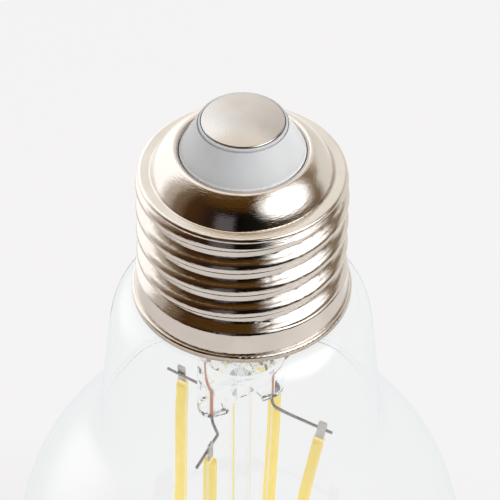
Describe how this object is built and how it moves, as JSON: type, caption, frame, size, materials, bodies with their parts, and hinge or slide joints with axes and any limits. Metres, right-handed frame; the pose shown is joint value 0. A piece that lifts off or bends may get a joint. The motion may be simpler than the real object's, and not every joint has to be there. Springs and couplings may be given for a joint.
{
  "type": "light bulb",
  "caption": "Clear glass LED globe bulb with a screw cap. Yellow filament strips stand round a glass stem inside, and the cap screws into a lampholder to feed them.",
  "frame": {"origin": "on the lamp axis, in the plane of the screw cap's open rim, where the glass begins", "axes": "+Z along the lamp axis towards the centre contact, -Y towards the picture's viewer, +X to the viewer's right"},
  "size_m": [0.06, 0.06, 0.1061],
  "materials": {
    "nickel": "bright nickel plate",
    "contact": "satin plate",
    "insulator": "satin",
    "cement": "rough",
    "clear_glass": "clear",
    "stem_glass": "clear",
    "dumet": "copper-clad wire",
    "lead_wire": "drawn wire",
    "tinned_wire": "tinned wire",
    "strip": "bare strip",
    "phosphor": "soft silicone with phosphor",
    "tab": "bare sheet",
    "star": "bare sheet",
    "board": "board lacquer",
    "package": "moulded",
    "can": "sleeved can",
    "resistor": "lacquer"
  },
  "bodies": {
    "root": {"screw_shell": "nickel", "cap_insulator": "insulator", "centre_contact": "contact", "basing_cement": "cement", "glass_globe": "clear_glass", "glass_stem": "stem_glass", "bottom_star": "star", "driver_board": "board", "rectifier": "package", "driver_chip": "package", "capacitor": "can", "fusible_resistor": "resistor", "contact_wire": "tinned_wire", "shell_wire": "tinned_wire", "dumet_left": "dumet", "outer_lead_left": "tinned_wire", "dumet_right": "dumet", "outer_lead_right": "tinned_wire", "inner_lead_1": "lead_wire", "top_tab_1": "tab", "bottom_tab_1": "tab", "substrate_1": "strip", "phosphor_1": "phosphor", "inner_lead_2": "lead_wire", "top_tab_2": "tab", "bottom_tab_2": "tab", "substrate_2": "strip", "phosphor_2": "phosphor", "inner_lead_3": "lead_wire", "top_tab_3": "tab", "bottom_tab_3": "tab", "substrate_3": "strip", "phosphor_3": "phosphor", "inner_lead_4": "lead_wire", "top_tab_4": "tab", "bottom_tab_4": "tab", "substrate_4": "strip", "phosphor_4": "phosphor"}
  },
  "joints": []
}
